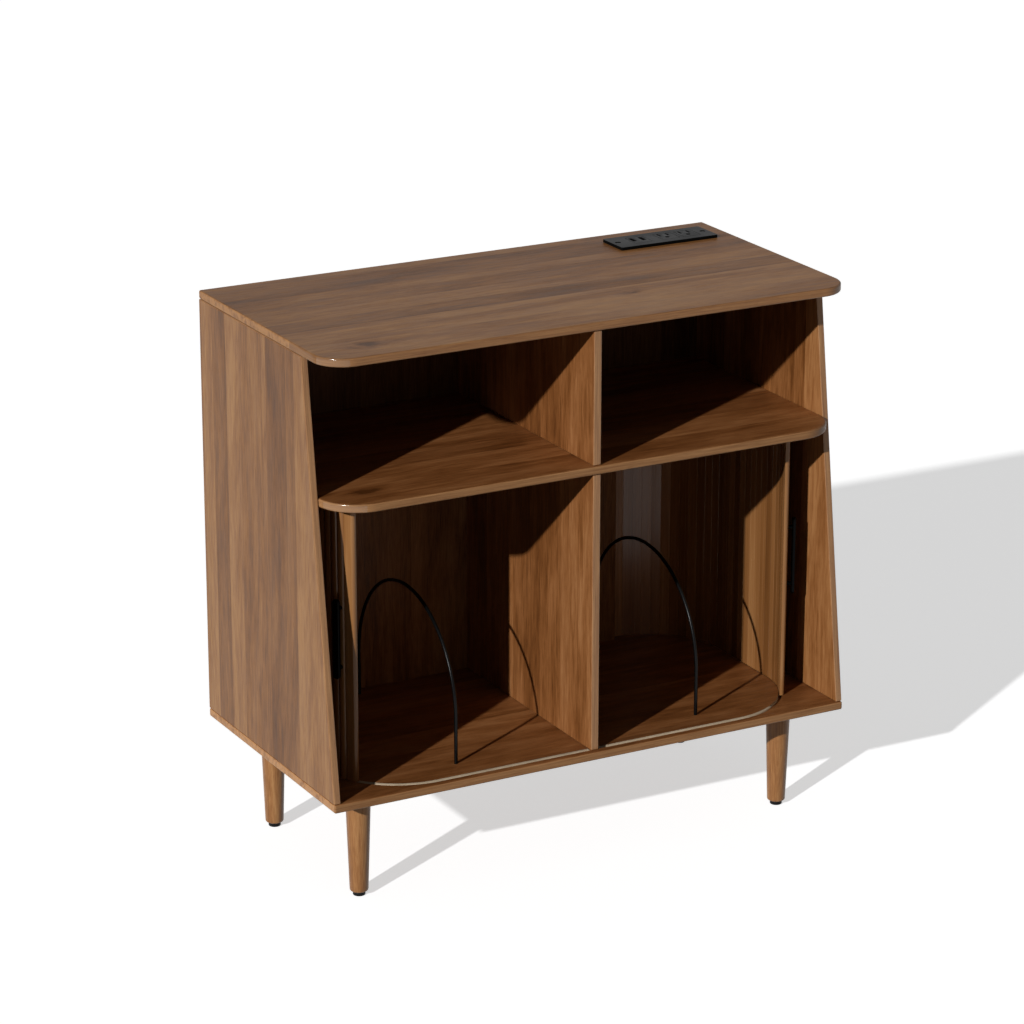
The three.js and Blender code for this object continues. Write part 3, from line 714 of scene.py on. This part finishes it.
def lathe(name, profile, x, y, steps, materials):
    # a profile of radius and height turned about an upright axis
    work = bmesh.new()
    rings = []
    for radius, z in profile:
        if radius < 1e-6:
            rings.append([work.verts.new((x, y, z))])
        else:
            turns = [2 * math.pi * i / steps for i in range(steps)]
            spots = [(x + radius * math.cos(turn), y + radius * math.sin(turn), z) for turn in turns]
            rings.append([work.verts.new(spot) for spot in spots])
    for lower, upper in zip(rings, rings[1:]):
        for i in range(steps):
            j = (i + 1) % steps
            if len(lower) == 1:
                work.faces.new((lower[0], upper[j], upper[i]))
            elif len(upper) == 1:
                work.faces.new((lower[i], lower[j], upper[0]))
            else:
                work.faces.new((lower[i], lower[j], upper[j], upper[i]))
    return bmeshPiece(name, work, materials, 40.0)


def makeLegs():
    values = legValues
    top, foot, chamfer = values["top"], values["foot"], values["chamfer"]
    radius, soft, thick = values["glide"], values["glideRound"], values["glideThick"]
    for spot in ("front_left", "front_right", "back_left", "back_right"):
        low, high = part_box(f"leg_{spot}")
        x, y = boxMiddle(f"leg_{spot}")
        profile = [(0.0, low.z), (foot - chamfer, low.z)]
        profile += arc(foot - chamfer, low.z + chamfer, chamfer, -75, -4, 5)
        profile += [(top, high.z - values["shoulder"]), (top, high.z), (0.0, high.z)]
        piece = lathe(f"turnedLeg_{spot}", profile, x, y, values["steps"], [legWood])
        fit(piece, "root", "turned_leg", f"leg_{spot}")
        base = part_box(f"glide_{spot}")[0].z
        profile = [(0.0, base)] + arc(radius - soft, base + soft, soft, -90, 0, 5)
        profile += arc(radius - soft, base + thick - soft, soft, 0, 90, 5) + [(0.0, base + thick)]
        piece = lathe(f"footGlide_{spot}", profile, x, y, values["glideSteps"], [glidePlastic])
        fit(piece, "root", "glide_plastic", f"glide_{spot}")


makeLegs()
print("legs made")

# Wire arches
archValues = {"wire": 0.0025, "sides": 20, "bendSteps": 96, "foot": 0.003}


def makeArches():
    wire, around = archValues["wire"], archValues["sides"]
    for side in sides:
        low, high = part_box(f"arch_{side}")
        x, middle = boxMiddle(f"arch_{side}")
        radius = (high.y - low.y) / 2 - wire
        base = floorHigh.z - archValues["foot"]
        bend = arc(middle, high.z - wire - radius, radius, 180, 0, archValues["bendSteps"])
        path = [(middle - radius, base), *bend, (middle + radius, base)]
        work = bmesh.new()
        rings = []
        # a ring of points square to the wire at each point of its path
        for before, (y, z), after in zip([path[0]] + path, path, path[1:] + [path[-1]]):
            tangent = (Vector(after) - Vector(before)).normalized()
            outward = Vector((-tangent.y, tangent.x))
            ring = []
            for k in range(around):
                turn = 2 * math.pi * k / around
                lean = outward * (wire * math.cos(turn))
                ring.append(work.verts.new((x + wire * math.sin(turn), y + lean.x, z + lean.y)))
            rings.append(ring)
        for first, second in zip(rings, rings[1:]):
            for k in range(around):
                m = (k + 1) % around
                work.faces.new((first[k], first[m], second[m], second[k]))
        work.faces.new(rings[0])
        work.faces.new(rings[-1])
        piece = bmeshPiece(f"wireArch_{side}", work, [blackGloss])
        fit(piece, "root", "black_wire", f"arch_{side}")


makeArches()
print("arches made")

# Tambour doors: half-round slats on a backing, laid along the door line by Geometry Nodes
slatValues = {"shoulder": 0.0043, "gap": 0.00036, "reedSteps": 14, "edge": 0.00015,
              "seamWidth": 0.0012, "seamLow": 0.00012, "seamHigh": 0.0013}
doorLow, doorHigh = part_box("door_right_run")


def reedCrown(start, width):
    # from shoulder to shoulder: u along the inner face, v out from it
    thick, steps = doorLine["thick"], slatValues["reedSteps"]
    rise = thick - slatValues["shoulder"]
    half = width / 2 - slatValues["gap"]
    radius = (half * half + rise * rise) / (2 * rise)
    crown = []
    for i in range(steps + 1):
        off = half * (2 * i / steps - 1)
        crown.append((start + width / 2 + off, thick - radius + math.sqrt(radius * radius - off * off)))
    return crown


def slatTemplate():
    width, gap, edge = doorLine["pitch"], slatValues["gap"], slatValues["edge"]
    outline = [(gap / 2 + edge, 0.0), (width - gap / 2 - edge, 0.0), (width - gap / 2, edge)]
    outline += reedCrown(0.0, width)[::-1] + [(gap / 2, edge)]
    outline = [(u, -v) for u, v in outline]
    return bmeshPiece("slatTemplate", prism(outline, doorLow.z, doorHigh.z), sharp=28.0)


def seamTemplate():
    half = slatValues["seamWidth"] / 2
    outline = rectangle(-half, half, -slatValues["seamHigh"], -slatValues["seamLow"])
    return bmeshPiece("seamTemplate", prism(outline, doorLow.z, doorHigh.z))


def slatTree():
    tree = bpy.data.node_groups.new("layTambourSlats", "GeometryNodeTree")
    sockets = {"Geometry": "Geometry", "Slat": "Object", "Seam": "Object", "Pitch": "Float",
               "Joints": "Int", "Seed": "Int", "Finish": "Material"}
    for name, kind in sockets.items():
        tree.interface.new_socket(name, in_out="INPUT", socket_type=f"NodeSocket{kind}")
    tree.interface.new_socket("Geometry", in_out="OUTPUT", socket_type="NodeSocketGeometry")
    given = make(tree, "NodeGroupInput", {}).outputs

    def vectorMath(operation, inputs, output):
        return make(tree, "ShaderNodeVectorMath", inputs, operation=operation).outputs[output]

    def capture(geometry, vector, domain):
        node = make(tree, "GeometryNodeCaptureAttribute", {"Geometry": geometry}, domain=domain)
        node.capture_items.new("VECTOR", "Kept")
        feed(tree, node.inputs["Kept"], vector)
        return node.outputs["Geometry"], node.outputs["Kept"]

    def points(mode, inputs):
        return make(tree, "GeometryNodeMeshToPoints", inputs, mode=mode).outputs["Points"]

    def indexIs(operation, limit):
        inputs = {2: make(tree, "GeometryNodeInputIndex", {}).outputs[0], 3: limit}
        return make(tree, "FunctionNodeCompare", inputs, data_type="INT", operation=operation).outputs[0]

    def lay(spots, shape, way, scale):
        x, y, z = split(tree, way)
        euler = join(tree, 0.0, 0.0, calc(tree, "ARCTAN2", y, x))
        rotation = make(tree, "FunctionNodeEulerToRotation", {0: euler}).outputs[0]
        shape = make(tree, "GeometryNodeObjectInfo", {"Object": given[shape]}).outputs["Geometry"]
        inputs = {"Points": spots, "Instance": shape, "Rotation": rotation, "Scale": scale}
        return make(tree, "GeometryNodeInstanceOnPoints", inputs).outputs["Instances"]

    # a slat for each edge of the line, stretched to the edge's length
    ends = make(tree, "GeometryNodeInputMeshEdgeVertices", {}).outputs
    along = vectorMath("SUBTRACT", {0: ends["Position 2"], 1: ends["Position 1"]}, 0)
    mesh, way = capture(given["Geometry"], along, "EDGE")
    mesh, start = capture(mesh, ends["Position 1"], "EDGE")
    stretch = over(tree, vectorMath("LENGTH", {0: way}, "Value"), given["Pitch"])
    slats = points("EDGES", {"Mesh": mesh, "Position": start})
    slats = lay(slats, "Slat", way, join(tree, stretch, 1.0, 1.0))
    # the backing shows as a seam between two slats
    mean = make(tree, "GeometryNodeFieldOnDomain", {0: along}, domain="EDGE", data_type="FLOAT_VECTOR")
    mesh, mean = capture(given["Geometry"], mean.outputs[0], "POINT")
    inner = {0: indexIs("GREATER_THAN", 0), 1: indexIs("LESS_THAN", given["Joints"])}
    inner = make(tree, "FunctionNodeBooleanMath", inner, operation="AND").outputs[0]
    seams = lay(points("VERTICES", {"Mesh": mesh, "Selection": inner}), "Seam", mean, (1.0, 1.0, 1.0))
    both = make(tree, "GeometryNodeJoinGeometry", {0: slats})
    feed(tree, both.inputs[0], seams)
    pick = make(tree, "FunctionNodeRandomValue", {"Seed": given["Seed"]}, data_type="FLOAT").outputs[1]
    inputs = {"Geometry": both.outputs[0], "Name": "slatTone", "Value": pick}
    store = make(tree, "GeometryNodeStoreNamedAttribute", inputs, data_type="FLOAT", domain="INSTANCE")
    real = make(tree, "GeometryNodeRealizeInstances", {"Geometry": store.outputs[0]})
    inputs = {"Geometry": real.outputs[0], "Material": given["Finish"]}
    finish = make(tree, "GeometryNodeSetMaterial", inputs)
    make(tree, "NodeGroupOutput", {"Geometry": finish.outputs[0]})
    return tree


def setInputs(modifier, values):
    names = {item.name: item.identifier for item in modifier.node_group.interface.items_tree
             if item.item_type == "SOCKET" and item.in_out == "INPUT"}
    for name, value in values.items():
        modifier[names[name]] = value


slatShape = slatTemplate()
seamShape = seamTemplate()
layTree = slatTree()


def laySlats(name, joints, seed):
    mesh = bpy.data.meshes.new(name)
    mesh.from_pydata([(p.x, p.y, 0.0) for p in joints], [(i, i + 1) for i in range(len(joints) - 1)], [])
    piece = showAs(name, mesh)
    modifier = piece.modifiers.new("slats", "NODES")
    modifier.node_group = layTree
    setInputs(modifier, {"Slat": slatShape, "Seam": seamShape, "Pitch": doorLine["pitch"],
                         "Joints": len(joints) - 1, "Seed": seed, "Finish": reedWood})
    graph = bpy.context.evaluated_depsgraph_get()
    made = bpy.data.meshes.new_from_object(piece.evaluated_get(graph))
    piece.modifiers.clear()
    piece.data = made
    return piece


def heading(turn):
    return Vector((math.cos(turn), math.sin(turn)))


def tailPoint(s, tailHalf, arcLength):
    radius = doorLine["radius"]
    if s < tailHalf:
        return rightRunEnd + heading(math.pi / 2 + tailTurn) * s
    turn = tailTurn + (s - tailHalf) / radius
    if turn < math.pi / 2:
        return Vector((cornerX, rearCornerY)) + heading(turn) * radius
    return Vector((cornerX - (s - tailHalf - arcLength), rearCornerY + radius))


# Leading stile: a rounded land, a vee groove and a rib like a slat
stileValues = {"round": 0.0046, "veeReach": 0.0026, "veeWall": 0.0004, "veeFloor": 0.0028, "tone": 0.8}


def stileOutline(root, tip):
    along = (root - tip).normalized()
    out = Vector((along.y, -along.x))
    width, land, thick = doorLine["stile"], doorLine["land"], doorLine["thick"]
    gap, shoulder, edge = slatValues["gap"], slatValues["shoulder"], slatValues["edge"]
    soft, wall = stileValues["round"], stileValues["veeWall"]
    section = [(edge, 0.0), (0.0, edge)] + arc(soft, thick - soft, soft, 180, 90, 10)
    section += [(land - stileValues["veeReach"], thick), (land - 3 * wall, thick - wall),
                (land - wall, shoulder), (land, stileValues["veeFloor"]), (land + wall, shoulder)]
    section += reedCrown(land, width - land)[1:] + [(width - gap / 2, edge), (width - gap / 2 - edge, 0.0)]
    return [tip + along * u + out * v for u, v in section]


def makeDoors():
    # worked out for the right door and mirrored for the left
    length = rightRunEnd.y - rightKnuckles[0].y
    runCount = round(length / doorLine["layPitch"])
    run = [Vector((trackSide, rightKnuckles[0].y + length * i / runCount)) for i in range(runCount + 1)]
    radius = doorLine["radius"]
    tailHalf = radius * math.tan(tailTurn / 2)
    arcLength = radius * (math.pi / 2 - tailTurn)
    tailLength = tailHalf + arcLength + doorLine["tailReach"]
    tailCount = round(tailLength / doorLine["layPitch"])
    tail = [tailPoint(tailLength * i / tailCount, tailHalf, arcLength) for i in range(tailCount + 1)]
    tipTurn = math.pi / 2 - 5 * kneeTurn
    tip = rightKnuckles[4] - heading(tipTurn) * doorLine["stile"]
    for side, sign in (("left", -1.0), ("right", 1.0)):

        def placed(points):
            line = [Vector((sign * p.x, p.y)) for p in points]
            return line if sign > 0 else line[::-1]

        lines = [("tail", f"slatTail_{side}", tail, 3), ("run", f"slatRun_{side}", run, 8)]
        for i in range(1, 5):
            pair = [rightKnuckles[i], rightKnuckles[i - 1]]
            lines.append((f"slat_{i}", f"slatSingle_{side}_{i}", pair, 20 + i))
        for member, name, joints, seed in lines:
            node = f"door_{side}_{member}"
            fit(laySlats(name, placed(joints), seed), node, "tambour", node)
        outline = [(sign * p.x, p.y) for p in stileOutline(rightKnuckles[4], tip)]
        work = prism(outline, doorLow.z, doorHigh.z)
        stile = bmeshPiece(f"leadStile_{side}", work, [stileWood], 28.0)
        tones = stile.data.attributes.new("slatTone", "FLOAT", "POINT")
        tones.data.foreach_set("value", [stileValues["tone"]] * len(stile.data.vertices))
        fit(stile, f"door_{side}_stile", "tambour", f"door_{side}_stile")
        makeHandle(side, sign, tip, tipTurn)


# Bar handle on the stile's rib, its posts narrower between the stile and the bar
handleValues = {"length": 0.112, "width": 0.010, "bar": 0.005, "stand": 0.012, "post": 0.0032,
                "postInset": 0.014, "round": 0.0012, "seatGap": 0.0003}


def makeHandle(side, sign, tip, tipTurn):
    values = handleValues
    low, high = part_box(f"door_{side}_handle")
    along = heading(tipTurn)
    out = Vector((along.y, -along.x))
    seat = doorLine["thick"] + values["seatGap"]
    foot = tip + along * ((doorLine["land"] + doorLine["stile"]) / 2) + out * seat
    reach = values["stand"] - values["bar"]
    half, width = values["length"] / 2, values["width"] / 2
    outline = roundedOutline(-width, width, -half, half, width - values["round"], 8)
    grip = prism(outline, reach, values["stand"], "Z", values["round"], 4)
    parts = [bmeshPiece("grip", grip, [handleBlack])]
    post, top = values["post"], reach + 0.001
    flare = [(0.0, 0.0), (post, 0.0), (post * 0.92, 0.0012), (post * 0.86, reach - 0.002), (post, top),
             (0.0, top)]
    for end in (-1, 1):
        parts.append(lathe(f"post_{end}", flare, 0.0, end * (half - values["postInset"]), 24, [handleBlack]))
    work = bmesh.new()
    for part in parts:
        work.from_mesh(part.data)
        bpy.data.objects.remove(part)
    # local x along the stile, y up, z out from it
    basis = Matrix(((sign * along.x, 0.0, sign * out.x), (along.y, 0.0, out.y), (0.0, 1.0, 0.0)))
    work.transform(Matrix.Translation((sign * foot.x, foot.y, (low.z + high.z) / 2)) @ basis.to_4x4())
    piece = bmeshPiece(f"barHandle_{side}", work, [handleBlack], 35.0)
    fit(piece, f"door_{side}_stile", "black_wire", f"door_{side}_handle")


makeDoors()
for template in (slatShape, seamShape):
    bpy.data.objects.remove(template)
print("doors made")

# Power strip plate, its slots and its screws
stripValues = {"corner": 0.003, "round": 0.0005, "overrun": 0.002, "usbWidth": 0.0062, "usbLength": 0.0166,
               "usbSpacing": 0.0154, "usbRaise": 0.0032, "usbShift": -0.0006, "blade": 0.0032,
               "bladeLength": 0.0112, "bladeSpacing": 0.0134, "ground": 0.0033, "groundDrop": 0.0130,
               "outletRaise": 0.0078, "outletShift": -0.0011, "frameLine": 0.0007, "frameDepth": 0.0006,
               "frameCorner": 0.003, "frameInnerCorner": 0.0025, "frameHalfX": 0.0145, "frameHalfY": 0.0165,
               "bore": 0.0043, "boreDepth": 0.0018, "screwLift": 0.0002, "screwHead": 0.0034,
               "screwDome": 0.0012, "screwShank": 0.0018, "crossWidth": 0.0008, "crossLength": 0.0042}


def ringCutter(x, y, low, high):
    halfX, halfY, inset = stripValues["frameHalfX"], stripValues["frameHalfY"], stripValues["frameLine"]
    outer = roundedOutline(x - halfX, x + halfX, y - halfY, y + halfY, stripValues["frameCorner"])
    inner = roundedOutline(x - halfX + inset, x + halfX - inset, y - halfY + inset, y + halfY - inset,
                           stripValues["frameInnerCorner"])
    work = bmesh.new()
    loops = [[work.verts.new((u, v, z)) for u, v in loop] for loop in (outer, inner) for z in (low, high)]
    outerLow, outerHigh, innerLow, innerHigh = loops
    count = len(outer)
    for i in range(count):
        j = (i + 1) % count
        work.faces.new((outerLow[i], outerLow[j], outerHigh[j], outerHigh[i]))
        work.faces.new((innerLow[j], innerLow[i], innerHigh[i], innerHigh[j]))
        work.faces.new((outerHigh[i], outerHigh[j], innerHigh[j], innerHigh[i]))
        work.faces.new((outerLow[j], outerLow[i], innerLow[i], innerLow[j]))
    return bmeshPiece("cutter", work)


def makeScrews(seat):
    values = stripValues
    head, dome, shank, start = values["screwHead"], values["screwDome"], values["screwShank"], seat - 0.002
    width, length = values["crossWidth"], values["crossLength"]
    turns = [math.radians(turn) for turn in range(0, 90, 15)]
    crown = [(head * math.cos(turn), seat + dome * math.sin(turn)) for turn in turns]
    profile = [(0.0, start), (shank, start), (shank, seat)] + crown + [(0.0, seat + dome)]
    for side in sides:
        x, y = boxMiddle(f"strip_screw_{side}")
        screw = lathe(f"stripScrew_{side}", profile, x, y, 32, [blackSteel])
        bars = [oblong(x, y, length, width), oblong(x, y, width, length)]
        settle(screw, [cutterOf(bar, seat + width / 2, seat + 0.003) for bar in bars], weighted=False)
        fit(screw, "root", "black_steel", f"strip_screw_{side}")


def makeStrip():
    values = stripValues
    low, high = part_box("strip_plate")
    outline = roundedOutline(low.x, high.x, low.y, high.y, values["corner"])
    work = prism(outline, low.z, high.z, "Z", values["round"], 4)
    piece = bmeshPiece("stripPlate", work, [stripPlastic, innerPlasticAndSlotShade])
    under, above = low.z - values["overrun"], high.z + values["overrun"]
    stripY = (low.y + high.y) / 2
    moduleX = {node: boxMiddle(node)[0] for node in ("strip_usb", "strip_outlet_1", "strip_outlet_2")}
    slots = []
    for side in (-1, 1):
        x = moduleX["strip_usb"] + values["usbShift"] + side * values["usbSpacing"] / 2
        slots.append(oblong(x, stripY + values["usbRaise"], values["usbWidth"], values["usbLength"]))
    for node in ("strip_outlet_1", "strip_outlet_2"):
        x, y = moduleX[node] + values["outletShift"], stripY + values["outletRaise"]
        for side in (-1, 1):
            bladeX = x + side * values["bladeSpacing"] / 2
            slots.append(oblong(bladeX, y, values["blade"], values["bladeLength"]))
        slots.append(disc(x, y - values["groundDrop"], values["ground"], 24))
    cutters = [cutterOf(slot, under, above) for slot in slots]
    cutters += [ringCutter(x, stripY, high.z - values["frameDepth"], above) for x in moduleX.values()]
    for side in sides:
        bore = disc(*boxMiddle(f"strip_screw_{side}"), values["bore"], 36)
        cutters.append(cutterOf(bore, high.z - values["boreDepth"], above))
    settle(piece, cutters)
    # the slot and bore walls take the darker plastic: painted shade in the recesses
    edgeFaces(piece, 1, "Z", 0.7)  # darker inside the slots and bores
    fit(piece, "root", "black_plastic", "strip_plate")
    makeScrews(high.z - values["boreDepth"] + values["screwLift"])


makeStrip()
print("power strip made")

# Nodes of the frame that stay as they are
keptFinish = {"inner_back_left": walnutInnerBack, "inner_back_right": walnutInnerBack}
for member in ("housing", "usb", "outlet_1", "outlet_2", "gland"):
    keptFinish[f"strip_{member}"] = innerPlasticAndSlotShade
for name, node in frame["nodes"].items():
    if not node.hide_render:
        node.data.materials.clear()
        node.data.materials.append(keptFinish.get(name, zincSteel))

# Floor and light
lightValues = {
    "floor": (0.90, 0.90, 0.90),
    "bounce": (0.26, 0.26, 0.26),
    "paperGlow": 0.60,
    "sunWay": (1.0, 0.55, -0.498),
    "sun": 3.1,
    "sunAngle": 1.0,
    "world": 0.5,
    "worldFill": 0.068,
    "floorHalf": 30.0,
}


def makeStage(values):
    mesh = bpy.data.meshes.new("floor")
    half = values["floorHalf"]
    corners = [(x, y, 0.0) for x, y in rectangle(-half, half, -half, half)]
    mesh.from_pydata(corners, [], [(0, 1, 2, 3)])
    material, tree, shader = newMaterial("floorPaper")
    spot = coordinate(tree)
    speck = noise(tree, spot, 60.0, 4.0, 0.6)
    shader.inputs["Specular IOR Level"].default_value = 0.1
    path = tree.nodes.new("ShaderNodeLightPath")
    seen = calc(tree, "MAXIMUM", path.outputs["Is Camera Ray"], path.outputs["Is Glossy Ray"])
    seen = calc(tree, "MAXIMUM", seen, path.outputs["Is Transmission Ray"])
    colour = mix(tree, seen, values["bounce"], values["floor"])
    dress(tree, shader, colour, smooth(tree, speck, 0.2, 0.8, 0.75, 0.9))
    shader.inputs["Emission Color"].default_value = (1.0, 1.0, 1.0, 1.0)
    feed(tree, shader.inputs["Emission Strength"], times(tree, seen, values["paperGlow"]))
    floor = showAs("floor", mesh, [material])
    sunData = bpy.data.lights.new("keyLamp", "SUN")
    sunData.energy = values["sun"]
    sunData.angle = math.radians(values["sunAngle"])
    sun = showAs("keyLamp", sunData)
    sun.rotation_mode = "QUATERNION"
    sun.rotation_quaternion = Vector(values["sunWay"]).to_track_quat("-Z", "Y")
    world = bpy.data.worlds.new("studio")
    bpy.context.scene.world = world
    world.use_nodes = True
    tree = world.node_tree
    background = tree.nodes["Background"]
    path = tree.nodes.new("ShaderNodeLightPath")
    soft = times(tree, path.outputs["Is Diffuse Ray"], values["worldFill"] - values["world"])
    strength = plus(tree, soft, values["world"])
    background.inputs["Color"].default_value = (1.0, 1.0, 1.0, 1.0)
    feed(tree, background.inputs["Strength"], strength)


makeStage(lightValues)
bpy.context.scene.view_settings.view_transform = "Standard"
print("stage made")
